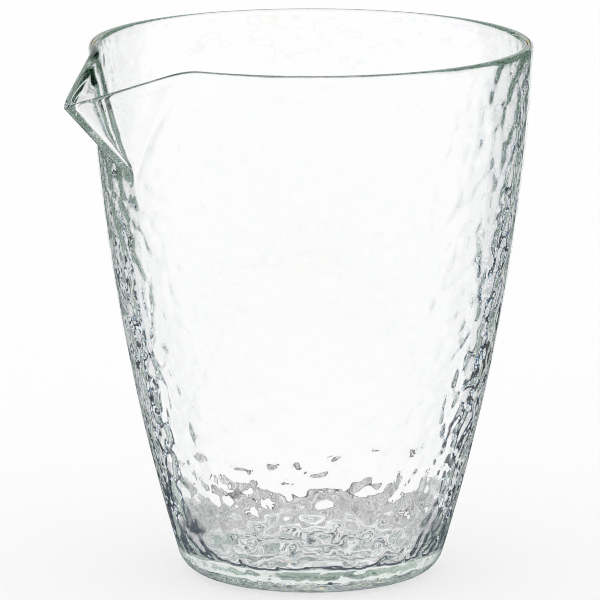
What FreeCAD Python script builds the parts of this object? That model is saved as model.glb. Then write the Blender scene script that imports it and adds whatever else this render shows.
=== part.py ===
"""Tea fairness pitcher: one piece of clear hammered glass with a pulled spout and no handle.

Millimetres, +Z up. The origin is on the axis of the body, on the surface that the pitcher stands on.
The spout points along -X. Angles go round the axis from the middle of the spout.
One curved skin runs from the edge of the underside up the outside, over the rounded rim and down
the inside to the floor. Two flat discs close it: the underside and the middle of the floor.
"""

import FreeCAD, Part
import math
import os

# Body
HEIGHT = 100.0
MOUTH_RADIUS = 41.25
FOOT_RADIUS = 23.6  # where the line of the wall meets the table
WALL_BOW = 3.3  # how far the wall bows out of a straight line at half height
HEEL_ROUND = 5.6

# Thickness of the glass
RIM_WALL = 1.9
FOOT_WALL = 4.0
INSIDE_STEP = 1.0  # how much thicker the hammered wall is than the plain band under the rim
STEP_FADE = 4.0  # over this height under the band
BASE_THICKNESS = 4.9
FLOOR_ROUND = 1.6  # between the inside wall and the floor
RIM_ROUND = 1.0  # height of the fire-polished round on top of the rim

# Spout: two sides that meet in a keel, pulled out and down from the rim
SPOUT_REACH = 12.6  # beyond the circle of the rim
SPOUT_DROP = 7.1  # tip below the rim
SPOUT_DEPTH = 22.0  # foot of the keel below the rim
SPOUT_WIDTH = 30.6  # between its two shoulders on the rim
SPOUT_WALL = 1.25
KEEL_ROUND = 1.1
KEEL_CREASE = 0.7  # the same on the inside
SHOULDER_BLEND = 2.6
KEEL_BLEND = 1.2
TIP_BLEND = 0.8
LIP_BLEND = 1.2

# Hammered relief: shallow dents outside, deeper ones inside
DENT_PITCH = 9.5  # between neighbouring dents
OUTSIDE_DEPTH = 0.25  # from the bottom of a dent to the ridge beside it
INSIDE_DEPTH = 0.45
RIDGE_SHARPNESS = 2.5
RIM_BAND = 2.0  # plain glass at the rim
HEEL_BAND = 6.0  # plain glass above the table
DENT_FADE = 3.0
SPOUT_FADE = 3.0  # the dents begin over this distance inside the spout's sides
SPOUT_STEP_FADE = 12.0  # and the thick wall over this
SPOUT_SOFT = 6.0  # how blunt the spout is for these two

# Points of the skin
AROUND = 112
SPOUT_CROWDING = 0.6  # 0 spaces the points evenly round the axis, towards 1 they crowd at the spout
END_CROWDING = 0.6  # the same for the two ends of a wall
HEEL_POINTS = 6
OUTSIDE_POINTS = 38
RIM_POINTS = 8
INSIDE_POINTS = 42
FLOOR_POINTS = 8
FLOOR_DISC = 0.5  # radius of the floor's disc as a share of the flat floor
DEGREE = 3


def ease(low, high, value):
    """0 up to low, 1 from high, and a smooth way between."""
    share = min(1.0, max(0.0, (value - low) / (high - low)))
    return share * share * (3.0 - 2.0 * share)


def blended_max(a, b, blend):
    """The larger value, rounded where the two are within the blend of each other."""
    return max(a, b) + max(0.0, blend - abs(a - b)) ** 2 / (4.0 * blend)


# Body of revolution


def body_radius(z):
    share = z / HEIGHT
    straight = FOOT_RADIUS + (MOUTH_RADIUS - FOOT_RADIUS) * share
    return straight + 4.0 * WALL_BOW * share * (1.0 - share)


def cavity_radius(z):
    """Inside of the thick hammered wall, before its dents."""
    return body_radius(z) - FOOT_WALL - (RIM_WALL + INSIDE_STEP - FOOT_WALL) * z / HEIGHT


# Spout. Along is the distance from the axis towards the spout, across is square to it and level.

tip_along = MOUTH_RADIUS + SPOUT_REACH
tip_z = HEIGHT - SPOUT_DROP
shoulder_across = 0.5 * SPOUT_WIDTH
shoulder_angle = math.asin(shoulder_across / MOUTH_RADIUS)
shoulder_along = MOUTH_RADIUS * math.cos(shoulder_angle)
keel_foot_z = HEIGHT - SPOUT_DEPTH
keel_rise = (tip_along - body_radius(keel_foot_z)) / (tip_z - keel_foot_z)
side_slope = (tip_along + keel_rise * SPOUT_DROP - shoulder_along) / shoulder_across
side_slant = math.sqrt(1.0 + keel_rise**2 + side_slope**2)
steepest = math.atan(side_slope)  # beyond this angle the sides only move away from the body


def spout_radius(angle, z, inset, keel_round):
    """Distance from the axis to the spout's sides, moved in by a thickness measured square to them."""
    turn = min(abs(angle), steepest)
    keel = tip_along + keel_rise * (z - tip_z) - inset * side_slant
    blunt = keel_round / MOUTH_RADIUS
    sine = math.hypot(math.sin(turn), blunt) - blunt
    return keel / (math.cos(turn) + side_slope * sine)


def rim_z(angle):
    """The rim is level, and falls along a straight lip from each shoulder to the tip."""
    tangent = math.tan(min(abs(angle), steepest))
    along_lip = tip_along * tangent / (shoulder_across + (tip_along - shoulder_along) * tangent)
    tip_share = TIP_BLEND / shoulder_across
    drop = SPOUT_DROP * (1.0 + tip_share - math.hypot(along_lip, tip_share))
    return HEIGHT - blended_max(drop, 0.0, LIP_BLEND)


# Relief. Dents stand in staggered rows round the wall, each a little off its place and of its own depth.

dents_around = max(6, round(2.0 * math.pi * body_radius(0.5 * HEIGHT) / DENT_PITCH))


def scatter(column, row, which):
    """A repeatable number from -1 to 1 for one dent."""
    mixed = 43758.5 * math.sin(12.99 * column + 78.23 * row + 37.72 * which)
    return 2.0 * (mixed - math.floor(mixed)) - 1.0


def hammered(angle, z, set_number):
    """0 at the bottom of a dent, about 1 on the ridges where bowls meet. Each set has dents of its own."""
    across = (0.5 + angle / (2.0 * math.pi)) * dents_around
    up = z / DENT_PITCH
    total = 0.0
    for row in range(math.floor(up) - 1, math.floor(up) + 3):
        for column in range(math.floor(across) - 2, math.floor(across) + 3):
            name = column % dents_around
            stagger = 0.5 * (row % 2)
            off_across = across - column - stagger - 0.3 * scatter(name, row, set_number)
            off_up = up - row - 0.3 * scatter(name, row, set_number + 1)
            bowl = 4.0 * (off_across**2 + off_up**2) - 0.3 * scatter(name, row, set_number + 2)
            total += math.exp(-RIDGE_SHARPNESS * bowl)
    return -math.log(total) / RIDGE_SHARPNESS


def off_spout(angle, z, fade):
    """0 on the spout, 1 where the inside of the body lies well clear of the spout's sides."""
    clear = cavity_radius(z) + INSIDE_STEP - spout_radius(angle, z, SPOUT_WALL, SPOUT_SOFT)
    return ease(0.0, fade, clear)


def below_rim(z, fade):
    top = HEIGHT - RIM_BAND
    return 1.0 - ease(top - fade, top, z)


def hammered_zone(angle, z):
    """1 where the wall is hammered, 0 on the plain band at the rim and on the spout."""
    return off_spout(angle, z, SPOUT_FADE) * below_rim(z, DENT_FADE)


def spout_blend(angle):
    """How softly the spout grows out of the body: tight at the foot of the keel, soft at the shoulders."""
    return KEEL_BLEND + (SHOULDER_BLEND - KEEL_BLEND) * ease(0.0, steepest, abs(angle))


def outside_radius(angle, z):
    plain = blended_max(body_radius(z), spout_radius(angle, z, 0.0, KEEL_ROUND), spout_blend(angle))
    zone = hammered_zone(angle, z) * ease(HEEL_BAND, HEEL_BAND + DENT_FADE, z)
    return plain + zone * OUTSIDE_DEPTH * (hammered(angle, z, 0) - 0.5)


def inside_radius(angle, z):
    thin = INSIDE_STEP * (1.0 - off_spout(angle, z, SPOUT_STEP_FADE) * below_rim(z, STEP_FADE))
    spout = spout_radius(angle, z, SPOUT_WALL, KEEL_CREASE)
    plain = blended_max(cavity_radius(z) + thin, spout, spout_blend(angle))
    return plain - hammered_zone(angle, z) * INSIDE_DEPTH * (hammered(angle, z, 3) - 0.5)


# Skin


def corner(radius_at, z, size, count):
    """(radius, height above z) along the round from the level at z to the wall that leans out from it."""
    step = 0.01
    turn = 0.5 * math.pi - math.atan((radius_at(z + step) - radius_at(z)) / step)
    flat_end = radius_at(z) - size * math.tan(0.5 * turn)
    sweeps = [turn * i / count for i in range(count + 1)]
    return [(flat_end + size * math.sin(a), size * (1.0 - math.cos(a))) for a in sweeps]


heel = corner(body_radius, 0.0, HEEL_ROUND, HEEL_POINTS)
floor_corner = corner(cavity_radius, BASE_THICKNESS, FLOOR_ROUND, FLOOR_POINTS)


def heights(start, end, count):
    """Heights from start to end, closer together at both."""
    turns = [2.0 * math.pi * i / count for i in range(1, count)]
    return [start + (end - start) * (t - END_CROWDING * math.sin(t)) / (2.0 * math.pi) for t in turns]


def section(angle):
    """(radius, z) points at one angle, from the edge of the underside to the floor's disc."""
    rim_start = rim_z(angle) - RIM_ROUND
    outer = outside_radius(angle, rim_start)
    inner = inside_radius(angle, rim_start)
    middle = 0.5 * (outer + inner)
    up = heights(heel[-1][1], rim_start, OUTSIDE_POINTS)
    points = heel + [(outside_radius(angle, z), z) for z in up]
    for i in range(RIM_POINTS + 1):
        sweep = math.pi * i / RIM_POINTS
        radius = middle + (outer - middle) * math.cos(sweep)
        points.append((radius, rim_start + RIM_ROUND * math.sin(sweep)))
    corner_height = floor_corner[-1][1]
    floor_top = BASE_THICKNESS + corner_height
    points += [(inside_radius(angle, z), z) for z in heights(rim_start, floor_top, INSIDE_POINTS)]
    bulge = cavity_radius(floor_top) - inside_radius(angle, floor_top)
    for radius, height in reversed(floor_corner):
        points.append((radius - bulge * height / corner_height, BASE_THICKNESS + height))
    points.append((FLOOR_DISC * floor_corner[0][0], BASE_THICKNESS))
    return points


def poles_through(points, closed):
    """Control points whose cubic curve passes very nearly through the given points."""
    poles = list(points)
    first, last = (0, len(points)) if closed else (1, len(points) - 1)
    for i in range(first, last):
        before, here, after = points[i - 1], points[i], points[(i + 1) % len(points)]
        poles[i] = here + (here * 2.0 - before - after) * (1.0 / 6.0)
    return poles


def skin():
    columns = []
    for i in range(AROUND):
        turn = 2.0 * math.pi * i / AROUND - math.pi
        angle = turn - SPOUT_CROWDING * math.sin(turn)
        toward, side = -math.cos(angle), math.sin(angle)
        points = [FreeCAD.Vector(radius * toward, radius * side, z) for radius, z in section(angle)]
        columns.append(poles_through(points, False))
    rings = [poles_through(list(ring), True) for ring in zip(*columns)]
    spans = len(rings) - DEGREE
    surface = Part.BSplineSurface()
    surface.buildFromPolesMultsKnots(
        [list(column) for column in zip(*rings)],
        [1] * (AROUND + 1),
        [DEGREE + 1] + [1] * (spans - 1) + [DEGREE + 1],
        list(range(AROUND + 1)),
        list(range(spans + 1)),
        True,
        False,
        DEGREE,
        DEGREE,
    )
    return surface.toShape()


def pitcher():
    wall = skin()
    level_edges = [edge for edge in wall.Edges if edge.BoundBox.ZLength < 0.001]
    discs = [Part.Face(Part.Wire([edge])) for edge in level_edges]
    shell = Part.makeShell([wall] + discs)
    shell.sewShape()
    return Part.makeSolid(shell)


os.makedirs("parts", exist_ok=True)
glass = pitcher()
glass.exportStep("parts/glass_pitcher.step")
box = glass.BoundBox
print("glass_pitcher valid", glass.isValid(), "closed", glass.Shells[0].isClosed())
print("volume cm3", round(glass.Volume / 1000.0, 2), "size", box.XLength, box.YLength, box.ZLength)
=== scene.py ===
"""Tea fairness pitcher of clear hammered glass: its visible glass, a white studio and the camera.

Sizes are in millimetres and angles in degrees, up to the mesh and the nodes, which are in metres
and radians. The spout points along -X.
"""

import math

import bpy
import numpy as np
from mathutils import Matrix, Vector


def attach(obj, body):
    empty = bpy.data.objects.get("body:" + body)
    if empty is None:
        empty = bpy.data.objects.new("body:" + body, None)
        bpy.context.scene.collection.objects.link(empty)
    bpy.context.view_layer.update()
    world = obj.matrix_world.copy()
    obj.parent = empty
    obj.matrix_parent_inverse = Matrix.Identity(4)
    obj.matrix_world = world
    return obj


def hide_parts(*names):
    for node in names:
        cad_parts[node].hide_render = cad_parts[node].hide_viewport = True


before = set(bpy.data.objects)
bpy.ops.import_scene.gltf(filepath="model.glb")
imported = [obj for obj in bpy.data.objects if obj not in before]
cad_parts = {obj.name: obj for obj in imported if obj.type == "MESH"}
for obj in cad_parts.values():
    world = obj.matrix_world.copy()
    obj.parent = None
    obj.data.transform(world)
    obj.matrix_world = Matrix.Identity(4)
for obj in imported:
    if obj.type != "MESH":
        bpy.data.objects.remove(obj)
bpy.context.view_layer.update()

MM = 0.001
WHITE = "#ffffff"

# Sizes of the glass, as in the part's source unless a comment says otherwise
HEIGHT = 100.0
MOUTH_RADIUS = 41.25
FOOT_RADIUS = 23.6
WALL_BOW = 3.3
HEEL_ROUND = 5.6
RIM_WALL = 1.9
FOOT_WALL = 4.0
INSIDE_STEP = 1.0
BASE_THICKNESS = 4.9
FLOOR_ROUND = 1.6
RIM_ROUND = 1.0
SPOUT_REACH = 12.6
SPOUT_DROP = 7.1
SPOUT_DEPTH = 22.0
SPOUT_WIDTH = 30.6
SPOUT_WALL = 1.25
KEEL_ROUND = 1.1
KEEL_CREASE = 0.7
SHOULDER_BLEND = 2.6
KEEL_BLEND = 0.7  # tighter than in the source
TIP_BLEND = 0.8
LIP_BLEND = 1.2
RIM_BAND = 0.9  # lower than in the source
HEEL_BAND = 6.0
DENT_FADE = 1.4  # shorter than in the source
STEP_FADE = 4.0
SPOUT_FADE = 3.0
SPOUT_STEP_FADE = 24.0  # longer than in the source
SPOUT_SOFT = 6.0
NUB_Z = 78.2  # the drop of glass in which the keel ends is only here
NUB_SIZE = 0.9
NUB_HEIGHT = 0.8

# Hammered relief of the inside wall and floor
CELL_SIZE = 3.3  # width of one small dent
CELL_STRETCH = 0.9  # a dent's height to its width
CELL_DEPTH = 0.40
CELL_SMOOTHNESS = 0.15
CELL_BEND = 1.6  # how far a dent's place wanders, to its width
BENDS_PER_METRE = 90.0
BROAD_SIZE = 7.5  # slow swells that gather the small dents in groups
BROAD_STRETCH = 2.0
BROAD_DEPTH = 0.3
OUTSIDE_WAVE = 0.10  # the outside is nearly smooth
RELIEF_SEED = 7
GRAIN_SIZE = 0.8  # the finest marks of the floor, too small for the mesh
GRAIN_DEPTH = 0.045
FLOOR_RELIEF = 2.1  # the relief of the floor and its corner, to that of the wall
FOOT_RIPPLE_SIZE = 2.5  # the foot is slightly uneven, fully up to the first height below
FOOT_RIPPLE_DEPTH = 0.25
FOOT_RIPPLE_FULL = 3.0
FOOT_RIPPLE_END = 5.0

# Rows of the mesh, from the middle of the underside up the outside and down to the floor's middle
COLUMNS = 440
SPOUT_CROWDING = 0.2
UNDERSIDE_ROWS = 3
HEEL_ROWS = 9
OUTSIDE_ROWS = 28
NUB_ROWS = 6  # further rows to each side of the nub's middle
NUB_ROW_GAP = 0.0037  # of the outside's height
RIM_ROWS = 10
INSIDE_ROWS = 124
CORNER_ROWS = 10
FLOOR_ROWS = 24

# Glass
GLASS_IOR = 1.5
GLASS_TINT = "#c4d6cc"
GLASS_DENSITY = 9.0  # per metre
LIGHT_BOUNCES = 96  # light runs a long way round inside the rim and the keel before it leaves

# Room that the glass reflects. Its clutter is a pattern from 0 to 1: dim up to the grey share,
# dark from there to the white share, then white. The backdrop's light is added to the pattern.
BACKDROP_HALF = 22.0  # degrees to each side of the white backdrop
BACKDROP_SOFT = 8.0
BACKDROP_LIGHT = 0.6
CLUTTER_END = 75.0  # so many degrees off the backdrop's middle the room is white again
CLUTTER_SIZE = 0.24  # to a turn of one radian
CLUTTER_BASE = 2.718  # of the logarithm that evens out the clutter near and far
ROOM_TOP = 76.0  # degrees above the table, and dim from there up
ROOM_TOP_SOFT = 0.03  # in the sine of that angle, like the two line sizes below
ROOM_COLOUR = "#303536"
ROOM_DARK = "#000000"
ROOM_GREY_SHARE = 0.43
ROOM_WHITE_SHARE = 0.54
ROOM_DARK_STEP = 0.02  # of the pattern, in which dim turns dark
ROOM_WHITE_STEP = 0.01  # of the pattern, in which dark turns white
ROOM_FRINGE = 0.010  # red and blue are moved so far apart from green in the pattern
EDGE_LINE_UP = 7.0  # dark line along the far edge of the table, in degrees
EDGE_LINE_HALF = 0.022
EDGE_LINE_CORE = 0.6  # the share of the line's width that is fully dark
LINE_FRINGE = 0.012

# Floor
PAPER = "#fcfcfc"
PAPER_GLOW = 0.6  # the share of plain white in the paper, the rest is lit
SHADED_TABLE_EDGE = 65.0  # the glass shows a grey table as far as this from its axis, its grey a painted shadow of the pitcher
SHADED_TABLE_EDGE_SOFT = 1.0
EDGE_SHADOW_OUT = 1.5  # painted shadow, a dark ring just inside that edge
EDGE_SHADOW_IN = 4.0
EDGE_SHADOW_TONE = 0.04
# Tones of the grey table's painted shadow: at the first distance from the axis, and from the second
# out
SHADED_TABLE_NEAR = 24.0
SHADED_TABLE_NEAR_TONE = 0.80
SHADED_TABLE_FAR = 34.0
SHADED_TABLE_FAR_TONE = 0.55
CAUSTIC_SIZE = 4.0  # grain of the light that the glass throws on the table round it
CAUSTIC_DEPTH = 0.26
CAUSTIC_SPREAD = 0.15
FOOT_SHADE = "#4a525c"  # slate-grey painted shade on the table close to the foot, as reflected light meets it
FOOT_SHADE_FULL = 34.0
FOOT_SHADE_END = 60.0
FLOOR_HALF = 3000.0
FLOOR_LOW = 0.2  # below the underside

# Camera: where it stands from the middle of the pitcher, and where that middle lies in the picture
CAMERA_AZIMUTH = -33.0
CAMERA_ELEVATION = 11.25
CAMERA_DISTANCE = 1217.0
LENS = 391.6
PIXELS_PER_MM = 5.363
MIDDLE_RIGHT = 10.8  # pixels right of the picture's middle
MIDDLE_BELOW = 6.2
SENSOR = 36.0
CLIP_NEAR = 10.0
CLIP_FAR = 20000.0
PIXEL_FILTER = 1.0  # as sharp as the photo


# Shape of the wall


def ease(low, high, value):
    """0 up to low, 1 from high, and a smooth way between."""
    share = np.clip((value - low) / (high - low), 0.0, 1.0)
    return share * share * (3.0 - 2.0 * share)


def blended_max(a, b, blend):
    """The larger value, rounded where the two are within the blend of each other."""
    return np.maximum(a, b) + np.maximum(0.0, blend - np.abs(a - b)) ** 2 / (4.0 * blend)


def body_radius(z):
    share = z / HEIGHT
    straight = FOOT_RADIUS + (MOUTH_RADIUS - FOOT_RADIUS) * share
    return straight + 4.0 * WALL_BOW * share * (1.0 - share)


def cavity_radius(z):
    """Inside of the thick hammered wall, before its dents."""
    return body_radius(z) - FOOT_WALL - (RIM_WALL + INSIDE_STEP - FOOT_WALL) * z / HEIGHT


tip_along = MOUTH_RADIUS + SPOUT_REACH
tip_z = HEIGHT - SPOUT_DROP
shoulder_across = 0.5 * SPOUT_WIDTH
shoulder_along = MOUTH_RADIUS * math.cos(math.asin(shoulder_across / MOUTH_RADIUS))
keel_foot_z = HEIGHT - SPOUT_DEPTH
keel_rise = (tip_along - body_radius(keel_foot_z)) / (tip_z - keel_foot_z)
side_slope = (tip_along + keel_rise * SPOUT_DROP - shoulder_along) / shoulder_across
side_slant = math.sqrt(1.0 + keel_rise**2 + side_slope**2)
steepest = math.atan(side_slope)


def spout_radius(angle, z, inset, keel_round):
    """Distance from the axis to the spout's sides, moved in by an inset measured square to them."""
    turn = np.minimum(np.abs(angle), steepest)
    keel = tip_along + keel_rise * (z - tip_z) - inset * side_slant
    blunt = keel_round / MOUTH_RADIUS
    sine = np.hypot(np.sin(turn), blunt) - blunt
    return keel / (np.cos(turn) + side_slope * sine)


def rim_z(angle):
    """The rim is level, and falls along a straight lip from each shoulder to the tip."""
    tangent = np.tan(np.minimum(np.abs(angle), steepest))
    along_lip = tip_along * tangent / (shoulder_across + (tip_along - shoulder_along) * tangent)
    tip_share = TIP_BLEND / shoulder_across
    drop = SPOUT_DROP * (1.0 + tip_share - np.hypot(along_lip, tip_share))
    return HEIGHT - blended_max(drop, 0.0, LIP_BLEND)


def off_spout(angle, z, fade):
    """0 on the spout, 1 where the inside of the body lies well clear of the spout's sides."""
    clear = cavity_radius(z) + INSIDE_STEP - spout_radius(angle, z, SPOUT_WALL, SPOUT_SOFT)
    return ease(0.0, fade, clear)


def below_rim(z, fade):
    top = HEIGHT - RIM_BAND
    return 1.0 - ease(top - fade, top, z)


def hammered_zone(angle, z):
    """1 where the wall is hammered, 0 on the plain band under the rim and on the spout."""
    return off_spout(angle, z, SPOUT_FADE) * below_rim(z, DENT_FADE)


def spout_blend(angle):
    """How softly the spout grows out of the body: tight at the keel, soft at the shoulders."""
    share = ease(0.0, steepest, np.abs(angle))
    return KEEL_BLEND + (SHOULDER_BLEND - KEEL_BLEND) * share


def outside_radius(angle, z):
    off_nub = np.hypot(angle * body_radius(NUB_Z), z - NUB_Z) / NUB_SIZE
    spout = spout_radius(angle, z, 0.0, KEEL_ROUND)
    plain = blended_max(body_radius(z), spout, spout_blend(angle))
    return plain + NUB_HEIGHT * np.exp(-(off_nub**2))


def inside_radius(angle, z):
    thin = INSIDE_STEP * (1.0 - off_spout(angle, z, SPOUT_STEP_FADE) * below_rim(z, STEP_FADE))
    spout = spout_radius(angle, z, SPOUT_WALL, KEEL_CREASE)
    return blended_max(cavity_radius(z) + thin, spout, spout_blend(angle))


def corner(radius_at, z, size, count):
    """(radius, height above z) along the round from the level at z to the wall above it."""
    step = 0.01  # over which the wall's lean is measured
    turn = 0.5 * math.pi - math.atan((radius_at(z + step) - radius_at(z)) / step)
    flat_end = radius_at(z) - size * math.tan(0.5 * turn)
    sweeps = [turn * i / count for i in range(count + 1)]
    return [(flat_end + size * math.sin(a), size * (1.0 - math.cos(a))) for a in sweeps]


# Helpers


def srgb(code):
    """A hex colour turned to the linear RGBA that Blender's sockets take."""
    parts = [int(code[i : i + 2], 16) / 255.0 for i in (1, 3, 5)]
    return [c / 12.92 if c <= 0.04045 else ((c + 0.055) / 1.055) ** 2.4 for c in parts] + [1.0]


def add(tree, kind, inputs=None, **settings):
    """Adds a node, gives it its settings, and fills each named input or links it to a socket.

    A Mix node's numbers are at inputs 2 and 3, and its colours at 6 and 7.
    """
    node = tree.nodes.new(kind)
    for name, value in settings.items():
        setattr(node, name, value)
    for name, value in (inputs or {}).items():
        if isinstance(value, bpy.types.NodeSocket):
            tree.links.new(value, node.inputs[name])
        else:
            node.inputs[name].default_value = value
    return node


def new_object(name, data):
    piece = bpy.data.objects.new(name, data)
    bpy.context.collection.objects.link(piece)
    return piece


def empty_tree(owner):
    """The node tree of a material or a world, with nothing in it yet."""
    owner.use_nodes = True
    owner.node_tree.nodes.clear()
    return owner.node_tree


# Glass wall


def wall_rows(angle):
    """Rings of (radius, z, inside relief, outside relief) at every angle, underside to floor."""
    still = np.zeros_like(angle)
    full = np.ones_like(angle)
    rings = []
    heel = corner(body_radius, 0.0, HEEL_ROUND, HEEL_ROWS)
    floor_corner = corner(cavity_radius, BASE_THICKNESS, FLOOR_ROUND, CORNER_ROWS)
    for i in range(1, UNDERSIDE_ROWS):
        rings.append((heel[0][0] * i / UNDERSIDE_ROWS * full, still, still, still))
    for radius, z in heel:
        rings.append((radius * full, z * full, still, still))
    rim_start = rim_z(angle) - RIM_ROUND
    heel_top = heel[-1][1]
    nub_share = (NUB_Z - heel_top) / (tip_z - RIM_ROUND - heel_top)
    shares = [i / OUTSIDE_ROWS for i in range(1, OUTSIDE_ROWS)]
    shares += [nub_share + NUB_ROW_GAP * i for i in range(-NUB_ROWS, NUB_ROWS + 1)]
    for share in sorted(shares):
        z = heel_top + (rim_start - heel_top) * share
        wave = hammered_zone(angle, z) * ease(HEEL_BAND, HEEL_BAND + DENT_FADE, z)
        rings.append((outside_radius(angle, z), z, still, wave))
    outer = outside_radius(angle, rim_start)
    inner = inside_radius(angle, rim_start)
    for i in range(RIM_ROWS + 1):
        sweep = math.pi * i / RIM_ROWS
        radius = 0.5 * (outer + inner) + 0.5 * (outer - inner) * math.cos(sweep)
        rings.append((radius, rim_start + RIM_ROUND * math.sin(sweep), still, still))
    floor_top = BASE_THICKNESS + floor_corner[-1][1]
    for i in range(1, INSIDE_ROWS):
        z = rim_start + (floor_top - rim_start) * i / INSIDE_ROWS
        rings.append((inside_radius(angle, z), z, hammered_zone(angle, z), still))
    floor_relief = FLOOR_RELIEF * full
    for radius, height in reversed(floor_corner):
        rings.append((radius * full, (BASE_THICKNESS + height) * full, floor_relief, still))
    for i in range(1, FLOOR_ROWS):
        radius = floor_corner[0][0] * (1.0 - i / FLOOR_ROWS)
        rings.append((radius * full, BASE_THICKNESS * full, floor_relief, still))
    return rings


def smooth_glass():
    """The closed wall before its relief, with the share of relief kept in two point attributes."""
    turn = 2.0 * math.pi * np.arange(COLUMNS) / COLUMNS - math.pi
    angle = turn - SPOUT_CROWDING * np.sin(turn)
    rings = wall_rows(angle)
    points = [(0.0, 0.0, 0.0)]
    inside = [0.0]
    outside = [0.0]
    for radius, z, dents, wave in rings:
        ring = np.stack([-radius * np.cos(angle), radius * np.sin(angle), z + 0.0 * angle], axis=1)
        points += (ring * MM).tolist()
        inside += dents.tolist()
        outside += wave.tolist()
    points.append((0.0, 0.0, BASE_THICKNESS * MM))
    inside.append(FLOOR_RELIEF)
    outside.append(0.0)
    faces = []
    last = len(rings) - 1
    for i in range(COLUMNS):
        j = (i + 1) % COLUMNS
        faces.append((0, 1 + i, 1 + j))
        for k in range(last):
            low, high = 1 + k * COLUMNS, 1 + (k + 1) * COLUMNS
            faces.append((low + i, high + i, high + j, low + j))
        top = 1 + last * COLUMNS
        faces.append((top + j, top + i, len(points) - 1))
    mesh = bpy.data.meshes.new("smooth_glass")
    mesh.from_pydata(points, [], faces)
    mesh.attributes.new("inside_relief", "FLOAT", "POINT").data.foreach_set("value", inside)
    mesh.attributes.new("outside_relief", "FLOAT", "POINT").data.foreach_set("value", outside)
    mesh.shade_smooth()
    return mesh


def hammered_relief(material):
    """Geometry Nodes tree that presses the dents into the smooth wall along its normals."""
    tree = bpy.data.node_groups.new("hammered_relief", "GeometryNodeTree")
    sockets = tree.interface
    sockets.new_socket("Geometry", in_out="INPUT", socket_type="NodeSocketGeometry")
    for name in ("Cell size", "Cell depth", "Broad size", "Broad depth", "Outside wave", "Seed"):
        sockets.new_socket(name, in_out="INPUT", socket_type="NodeSocketFloat")
    sockets.new_socket("Geometry", in_out="OUTPUT", socket_type="NodeSocketGeometry")
    given = add(tree, "NodeGroupInput").outputs
    place = add(tree, "GeometryNodeInputPosition").outputs[0]

    # Small dents: the square of the distance to the nearest of many bent cells
    bend = add(
        tree, "ShaderNodeTexNoise", {"Vector": place, "Scale": BENDS_PER_METRE, "Detail": 1.0}
    ).outputs["Color"]
    centred = add(
        tree, "ShaderNodeVectorMath", {0: bend, 1: (0.5, 0.5, 0.5)}, operation="SUBTRACT"
    ).outputs[0]
    amount = add(
        tree, "ShaderNodeMath", {0: given["Cell size"], 1: CELL_BEND}, operation="MULTIPLY"
    ).outputs[0]
    shift = add(
        tree, "ShaderNodeVectorMath", {0: centred, "Scale": amount}, operation="SCALE"
    ).outputs[0]
    bent = add(tree, "ShaderNodeVectorMath", {0: place, 1: shift}, operation="ADD").outputs[0]
    upright = add(
        tree,
        "ShaderNodeVectorMath",
        {0: bent, 1: (1.0, 1.0, 1.0 / CELL_STRETCH)},
        operation="MULTIPLY",
    ).outputs[0]
    per_cell = add(
        tree, "ShaderNodeMath", {0: 1.0, 1: given["Cell size"]}, operation="DIVIDE"
    ).outputs[0]
    cells = add(
        tree,
        "ShaderNodeTexVoronoi",
        {"Vector": upright, "W": given["Seed"], "Scale": per_cell, "Smoothness": CELL_SMOOTHNESS},
        voronoi_dimensions="4D",
        feature="SMOOTH_F1",
    ).outputs["Distance"]
    bowl = add(tree, "ShaderNodeMath", {0: cells, 1: cells}, operation="MULTIPLY").outputs[0]
    cell_height = add(
        tree, "ShaderNodeMath", {0: bowl, 1: given["Cell depth"]}, operation="MULTIPLY"
    ).outputs[0]

    # Slow swells, longer up the wall than round it
    per_swell = add(
        tree, "ShaderNodeMath", {0: 1.0, 1: given["Broad size"]}, operation="DIVIDE"
    ).outputs[0]
    long_place = add(
        tree,
        "ShaderNodeVectorMath",
        {0: place, 1: (1.0, 1.0, 1.0 / BROAD_STRETCH)},
        operation="MULTIPLY",
    ).outputs[0]
    swell = add(
        tree,
        "ShaderNodeTexNoise",
        {"Vector": long_place, "W": given["Seed"], "Scale": per_swell, "Detail": 0.0},
        noise_dimensions="4D",
    ).outputs["Fac"]
    swell_centred = add(
        tree, "ShaderNodeMath", {0: swell, 1: 0.5}, operation="SUBTRACT"
    ).outputs[0]
    swell_height = add(
        tree, "ShaderNodeMath", {0: swell_centred, 1: given["Broad depth"]}, operation="MULTIPLY"
    ).outputs[0]

    # Each side of the wall takes its share
    both = add(
        tree, "ShaderNodeMath", {0: cell_height, 1: swell_height}, operation="ADD"
    ).outputs[0]
    dents = add(
        tree, "GeometryNodeInputNamedAttribute", {"Name": "inside_relief"}, data_type="FLOAT"
    ).outputs[0]
    inside = add(tree, "ShaderNodeMath", {0: both, 1: dents}, operation="MULTIPLY").outputs[0]
    wave_share = add(
        tree, "GeometryNodeInputNamedAttribute", {"Name": "outside_relief"}, data_type="FLOAT"
    ).outputs[0]
    wave = add(
        tree, "ShaderNodeMath", {0: swell_centred, 1: given["Outside wave"]}, operation="MULTIPLY"
    ).outputs[0]
    outside = add(
        tree, "ShaderNodeMath", {0: wave, 1: wave_share}, operation="MULTIPLY"
    ).outputs[0]
    total = add(tree, "ShaderNodeMath", {0: inside, 1: outside}, operation="ADD").outputs[0]
    normal = add(tree, "GeometryNodeInputNormal").outputs[0]
    offset = add(
        tree, "ShaderNodeVectorMath", {0: normal, "Scale": total}, operation="SCALE"
    ).outputs[0]
    moved = add(
        tree, "GeometryNodeSetPosition", {"Geometry": given["Geometry"], "Offset": offset}
    ).outputs[0]
    real = add(tree, "GeometryNodeRealizeInstances", {"Geometry": moved}).outputs[0]
    done = add(
        tree, "GeometryNodeSetMaterial", {"Geometry": real, "Material": material}
    ).outputs[0]
    add(tree, "NodeGroupOutput", {"Geometry": done})
    return tree


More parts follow.
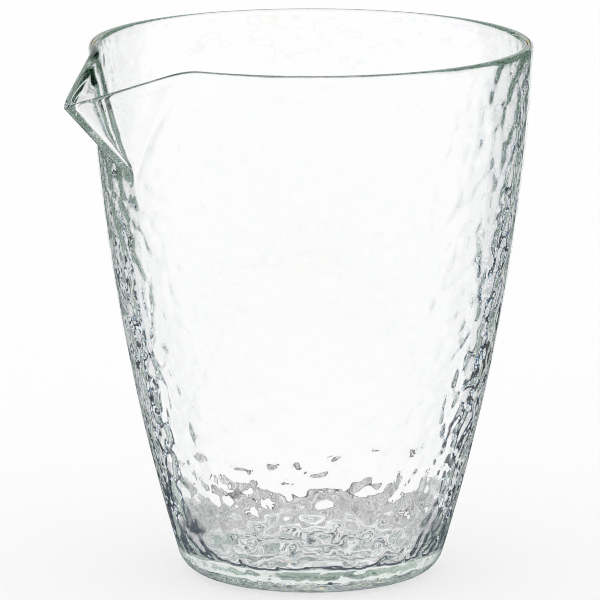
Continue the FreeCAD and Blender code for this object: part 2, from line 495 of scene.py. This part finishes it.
def hammered_glass(material):
    """The finished wall: the smooth glass with its relief, as a plain mesh."""
    rough = new_object("smooth_glass", smooth_glass())
    modifier = rough.modifiers.new("hammered_relief", "NODES")
    modifier.node_group = hammered_relief(material)
    sizes = {
        "Cell size": CELL_SIZE * MM,
        "Cell depth": CELL_DEPTH * MM,
        "Broad size": BROAD_SIZE * MM,
        "Broad depth": BROAD_DEPTH * MM,
        "Outside wave": OUTSIDE_WAVE * MM,
        "Seed": float(RELIEF_SEED),
    }
    for item in modifier.node_group.interface.items_tree:
        if item.in_out == "INPUT" and item.name in sizes:
            modifier[item.identifier] = sizes[item.name]
    bpy.context.view_layer.update()
    seen = rough.evaluated_get(bpy.context.evaluated_depsgraph_get())
    mesh = bpy.data.meshes.new_from_object(seen)
    mesh.name = "hammered_glass_pitcher"
    bpy.data.objects.remove(rough)
    return new_object("hammered_glass_pitcher", mesh)


# Materials


def blown_glass():
    """Soda-lime glass, blown into a hammered mould and fire-polished at the rim.

    It is clear and sharp, with a faint grey-green that only shows where light runs along the wall.
    """
    material = bpy.data.materials.new("soda_lime_glass_blown")
    tree = empty_tree(material)
    place = add(tree, "ShaderNodeTexCoord").outputs["Object"]
    grain = add(
        tree,
        "ShaderNodeTexNoise",
        {"Vector": place, "Scale": 1.0 / (GRAIN_SIZE * MM), "Detail": 1.0},
    ).outputs[0]
    relief = add(tree, "ShaderNodeAttribute", attribute_name="inside_relief").outputs["Fac"]
    on_floor = add(
        tree, "ShaderNodeMapRange", {"Value": relief, "From Min": 1.0, "From Max": FLOOR_RELIEF}
    ).outputs[0]
    fine = add(tree, "ShaderNodeMath", {0: grain, 1: on_floor}, operation="MULTIPLY").outputs[0]
    _, _, level = add(tree, "ShaderNodeSeparateXYZ", {"Vector": place}).outputs
    foot = add(
        tree,
        "ShaderNodeMapRange",
        {
            "Value": level,
            "From Min": FOOT_RIPPLE_FULL * MM,
            "From Max": FOOT_RIPPLE_END * MM,
            "To Min": 1.0,
            "To Max": 0.0,
        },
    ).outputs[0]
    ripple = add(
        tree,
        "ShaderNodeTexNoise",
        {"Vector": place, "Scale": 1.0 / (FOOT_RIPPLE_SIZE * MM), "Detail": 1.0},
    ).outputs[0]
    ripple_depth = add(
        tree, "ShaderNodeMath", {0: foot, 1: FOOT_RIPPLE_DEPTH / GRAIN_DEPTH}, operation="MULTIPLY"
    ).outputs[0]
    height = add(
        tree, "ShaderNodeMath", {0: ripple, 1: ripple_depth, 2: fine}, operation="MULTIPLY_ADD"
    ).outputs[0]
    normal = add(
        tree, "ShaderNodeBump", {"Height": height, "Distance": GRAIN_DEPTH * MM}
    ).outputs[0]
    surface = add(
        tree,
        "ShaderNodeBsdfPrincipled",
        {
            "Base Color": srgb(WHITE),
            "Roughness": 0.0,
            "IOR": GLASS_IOR,
            "Transmission Weight": 1.0,
            "Normal": normal,
        },
    ).outputs[0]
    inside = add(
        tree, "ShaderNodeVolumeAbsorption", {"Color": srgb(GLASS_TINT), "Density": GLASS_DENSITY}
    ).outputs[0]
    add(tree, "ShaderNodeOutputMaterial", {"Surface": surface, "Volume": inside})
    return material


def light_so_far(tree):
    """1 where light has come through the glass, and 1 where it has been reflected."""
    path = add(tree, "ShaderNodeLightPath").outputs
    through = add(
        tree, "ShaderNodeMath", {0: path["Transmission Depth"], 1: 0.5}, operation="GREATER_THAN"
    ).outputs[0]
    reflected = add(
        tree, "ShaderNodeMath", {0: path["Glossy Depth"], 1: 0.5}, operation="GREATER_THAN"
    ).outputs[0]
    return through, reflected


def studio_room(tree, toward, through):
    """Colour of the room that reflected light sees toward a place or direction.

    A white backdrop has clutter to each side of it. The clutter shows only in light that has come
    through the glass, and its three colours part a little at each edge, as they do in glass.
    """
    # The backdrop stands at one bearing of the room, across from the camera's place in the photo
    x, y, _ = add(tree, "ShaderNodeSeparateXYZ", {"Vector": toward}).outputs
    bearing = add(tree, "ShaderNodeMath", {0: y, 1: x}, operation="ARCTAN2").outputs[0]
    azimuth = math.radians(CAMERA_AZIMUTH)
    start = math.atan2(math.cos(azimuth), -math.sin(azimuth))
    off = add(tree, "ShaderNodeMath", {0: bearing, 1: start}, operation="SUBTRACT").outputs[0]
    ahead = add(tree, "ShaderNodeMath", {0: off}, operation="COSINE").outputs[0]
    backdrop = add(
        tree,
        "ShaderNodeMapRange",
        {
            "Value": ahead,
            "From Min": math.cos(math.radians(BACKDROP_HALF + BACKDROP_SOFT)),
            "From Max": math.cos(math.radians(BACKDROP_HALF)),
            "To Max": BACKDROP_LIGHT,
        },
    ).outputs[0]
    open_side = add(
        tree,
        "ShaderNodeMapRange",
        {
            "Value": ahead,
            "From Min": math.cos(math.radians(CLUTTER_END)),
            "From Max": math.cos(math.radians(CLUTTER_END - BACKDROP_SOFT)),
            "To Min": BACKDROP_LIGHT,
            "To Max": 0.0,
        },
    ).outputs[0]
    lights = add(tree, "ShaderNodeMath", {0: backdrop, 1: open_side}, operation="ADD").outputs[0]

    # The clutter grows with the distance, so that it looks alike on the table and far off
    reach = add(tree, "ShaderNodeVectorMath", {0: toward}, operation="LENGTH").outputs["Value"]
    far = add(
        tree, "ShaderNodeMath", {0: reach, 1: CLUTTER_BASE}, operation="LOGARITHM"
    ).outputs[0]
    around = add(tree, "ShaderNodeVectorMath", {0: toward}, operation="NORMALIZE").outputs[0]
    lifted = add(tree, "ShaderNodeCombineXYZ", {"Z": far}).outputs[0]
    spot = add(tree, "ShaderNodeVectorMath", {0: around, 1: lifted}, operation="ADD").outputs[0]
    clutter = add(
        tree, "ShaderNodeTexNoise", {"Vector": spot, "Scale": 1.0 / CLUTTER_SIZE, "Detail": 1.0}
    ).outputs[0]
    room = add(
        tree, "ShaderNodeMath", {0: clutter, 1: through, 2: lights}, operation="MULTIPLY_ADD"
    ).outputs[0]
    stops = (
        (ROOM_GREY_SHARE, ROOM_COLOUR),
        (ROOM_GREY_SHARE + ROOM_DARK_STEP, ROOM_DARK),
        (ROOM_WHITE_SHARE - ROOM_WHITE_STEP, ROOM_DARK),
    )
    tones = []
    for channel in range(3):
        apart = ROOM_FRINGE * (channel - 1)
        parted = add(tree, "ShaderNodeMath", {0: room, 1: apart}, operation="ADD").outputs[0]
        ramp = add(tree, "ShaderNodeValToRGB", {"Fac": parted})
        for share, code in stops:
            ramp.color_ramp.elements.new(share).color = srgb(code)
        ramp.color_ramp.elements[0].color = srgb(ROOM_COLOUR)
        ramp.color_ramp.elements[-1].position = ROOM_WHITE_SHARE
        ramp.color_ramp.elements[-1].color = srgb(WHITE)
        parts = add(tree, "ShaderNodeSeparateColor", {"Color": ramp.outputs[0]}).outputs
        tones.append(parts[channel])
    return add(tree, "ShaderNodeCombineColor", dict(enumerate(tones))).outputs[0]


def studio_paper():
    """Matt white paper of the studio's sweep: plain white to the eye, and it keeps a soft shadow.

    Through the glass it is a grey table, its grey a painted shadow of the pitcher with a painted
    dark ring along its edge, and to reflected light it has slate-grey painted shade near the foot.
    """
    material = bpy.data.materials.new("white_paper_sweep")
    tree = empty_tree(material)
    place = add(tree, "ShaderNodeTexCoord").outputs["Object"]
    reach = add(tree, "ShaderNodeVectorMath", {0: place}, operation="LENGTH").outputs["Value"]
    through, reflected = light_so_far(tree)

    # To the eye
    paper = add(tree, "ShaderNodeBsdfDiffuse", {"Color": srgb(PAPER)}).outputs[0]
    bright = add(tree, "ShaderNodeEmission", {"Color": srgb(WHITE), "Strength": 1.0}).outputs[0]
    sweep = add(tree, "ShaderNodeMixShader", {0: PAPER_GLOW, 1: paper, 2: bright}).outputs[0]

    # Through the glass: a grey table, darkened by a painted shadow of the pitcher
    shade = add(
        tree,
        "ShaderNodeMapRange",
        {
            "Value": reach,
            "From Min": SHADED_TABLE_NEAR * MM,
            "From Max": SHADED_TABLE_FAR * MM,
            "To Min": SHADED_TABLE_NEAR_TONE,
            "To Max": SHADED_TABLE_FAR_TONE,
        },
    ).outputs[0]
    beyond = add(
        tree,
        "ShaderNodeMapRange",
        {
            "Value": reach,
            "From Min": (SHADED_TABLE_EDGE - SHADED_TABLE_EDGE_SOFT) * MM,
            "From Max": (SHADED_TABLE_EDGE + SHADED_TABLE_EDGE_SOFT) * MM,
        },
    ).outputs[0]
    # Painted shadow along the grey table's edge: where its dark ring lies
    rim = add(
        tree,
        "ShaderNodeMapRange",
        {
            "Value": reach,
            "From Min": (SHADED_TABLE_EDGE - EDGE_SHADOW_IN) * MM,
            "From Max": (SHADED_TABLE_EDGE - EDGE_SHADOW_OUT) * MM,
        },
    ).outputs[0]
    with_edge_shadow = add(tree, "ShaderNodeMix", {0: rim, 2: shade, 3: EDGE_SHADOW_TONE}).outputs[0]
    tone = add(tree, "ShaderNodeMix", {0: beyond, 2: with_edge_shadow, 3: 1.0}).outputs[0]
    caustic = add(
        tree,
        "ShaderNodeTexNoise",
        {"Vector": place, "Scale": 1.0 / (CAUSTIC_SIZE * MM), "Detail": 2.0},
    ).outputs[0]
    lit = add(
        tree,
        "ShaderNodeMapRange",
        {
            "Value": caustic,
            "From Min": 0.5 - CAUSTIC_SPREAD,
            "From Max": 0.5 + CAUSTIC_SPREAD,
            "To Min": -CAUSTIC_DEPTH,
            "To Max": CAUSTIC_DEPTH,
        },
    ).outputs[0]
    near = add(tree, "ShaderNodeMath", {0: 1.0, 1: rim}, operation="SUBTRACT").outputs[0]
    strength = add(
        tree, "ShaderNodeMath", {0: lit, 1: near, 2: tone}, operation="MULTIPLY_ADD"
    ).outputs[0]
    # The grey table as the glass shows it, glowing at a tone that holds the painted shadow, its
    # painted edge ring and the painted light of the caustics
    shaded_table = add(
        tree, "ShaderNodeEmission", {"Color": srgb(WHITE), "Strength": strength}
    ).outputs[0]
    straight = add(tree, "ShaderNodeMixShader", {0: through, 1: sweep, 2: shaded_table}).outputs[0]

    # To reflected light
    room = studio_room(tree, place, through)
    # Painted shade: slate-grey near the foot, fading into the room further out
    away = add(
        tree,
        "ShaderNodeMapRange",
        {"Value": reach, "From Min": FOOT_SHADE_FULL * MM, "From Max": FOOT_SHADE_END * MM},
    ).outputs[0]
    around = add(
        tree, "ShaderNodeMix", {0: away, 6: srgb(FOOT_SHADE), 7: room}, data_type="RGBA"
    ).outputs[2]
    mirrored = add(tree, "ShaderNodeEmission", {"Color": around, "Strength": 1.0}).outputs[0]
    whole = add(tree, "ShaderNodeMixShader", {0: reflected, 1: straight, 2: mirrored}).outputs[0]
    add(tree, "ShaderNodeOutputMaterial", {"Surface": whole})
    return material


# Studio


def white_room():
    """A world that is plain white to the eye and through the glass, and the room once reflected."""
    world = bpy.data.worlds.new("white_room")
    tree = empty_tree(world)
    toward = add(tree, "ShaderNodeTexCoord").outputs["Generated"]
    through, reflected = light_so_far(tree)
    room = studio_room(tree, toward, through)
    _, _, rise = add(tree, "ShaderNodeSeparateXYZ", {"Vector": toward}).outputs
    top = math.sin(math.radians(ROOM_TOP))
    above = add(
        tree,
        "ShaderNodeMapRange",
        {"Value": rise, "From Min": top - ROOM_TOP_SOFT, "From Max": top + ROOM_TOP_SOFT},
    ).outputs[0]
    lines = []
    for channel in range(3):
        height = math.sin(math.radians(EDGE_LINE_UP)) + LINE_FRINGE * (channel - 1)
        off = add(tree, "ShaderNodeMath", {0: rise, 1: height}, operation="SUBTRACT").outputs[0]
        gap = add(tree, "ShaderNodeMath", {0: off}, operation="ABSOLUTE").outputs[0]
        clear = add(
            tree,
            "ShaderNodeMapRange",
            {
                "Value": gap,
                "From Min": EDGE_LINE_CORE * EDGE_LINE_HALF,
                "From Max": EDGE_LINE_HALF,
            },
        ).outputs[0]
        lines.append(clear)
    line = add(tree, "ShaderNodeCombineColor", dict(enumerate(lines))).outputs[0]
    capped = add(
        tree, "ShaderNodeMix", {0: above, 6: room, 7: srgb(ROOM_COLOUR)}, data_type="RGBA"
    ).outputs[2]
    lined = add(
        tree,
        "ShaderNodeMix",
        {0: 1.0, 6: capped, 7: line},
        data_type="RGBA",
        blend_type="MULTIPLY",
    ).outputs[2]
    tone = add(
        tree, "ShaderNodeMix", {0: reflected, 6: srgb(WHITE), 7: lined}, data_type="RGBA"
    ).outputs[2]
    light = add(tree, "ShaderNodeBackground", {"Color": tone, "Strength": 1.0}).outputs[0]
    add(tree, "ShaderNodeOutputWorld", {"Surface": light})
    bpy.context.scene.world = world


def floor_plane():
    mesh = bpy.data.meshes.new("floor")
    ways = ((-1, -1), (1, -1), (1, 1), (-1, 1))
    half = FLOOR_HALF * MM
    corners = [(x * half, y * half, -FLOOR_LOW * MM) for x, y in ways]
    mesh.from_pydata(corners, [], [(0, 1, 2, 3)])
    mesh.materials.append(studio_paper())
    floor = new_object("floor", mesh)


def camera():
    a, e = math.radians(CAMERA_AZIMUTH), math.radians(CAMERA_ELEVATION)
    back = Vector((math.sin(a) * math.cos(e), -math.cos(a) * math.cos(e), math.sin(e)))
    right = Vector((math.cos(a), math.sin(a), 0.0))
    up = back.cross(right)
    middle = Vector((0.0, 0.0, 0.5 * HEIGHT * MM))
    aside = right * (MIDDLE_RIGHT / PIXELS_PER_MM * MM)
    aim = middle - aside + up * (MIDDLE_BELOW / PIXELS_PER_MM * MM)
    eye = middle + back * CAMERA_DISTANCE * MM
    data = bpy.data.cameras.new("camera")
    data.lens = LENS
    data.sensor_width = SENSOR
    data.clip_start, data.clip_end = CLIP_NEAR * MM, CLIP_FAR * MM
    seer = new_object("camera", data)
    seer.location = eye
    seer.rotation_euler = (aim - eye).to_track_quat("-Z", "Y").to_euler()
    bpy.context.scene.camera = seer


pitcher = hammered_glass(blown_glass())
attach(pitcher, "root")
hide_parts("glass_pitcher")
white_room()
floor_plane()
camera()
bpy.context.scene.view_settings.view_transform = "Standard"
cycles = bpy.context.scene.cycles
cycles.filter_width = PIXEL_FILTER
cycles.max_bounces = LIGHT_BOUNCES
cycles.glossy_bounces = LIGHT_BOUNCES
cycles.transmission_bounces = LIGHT_BOUNCES
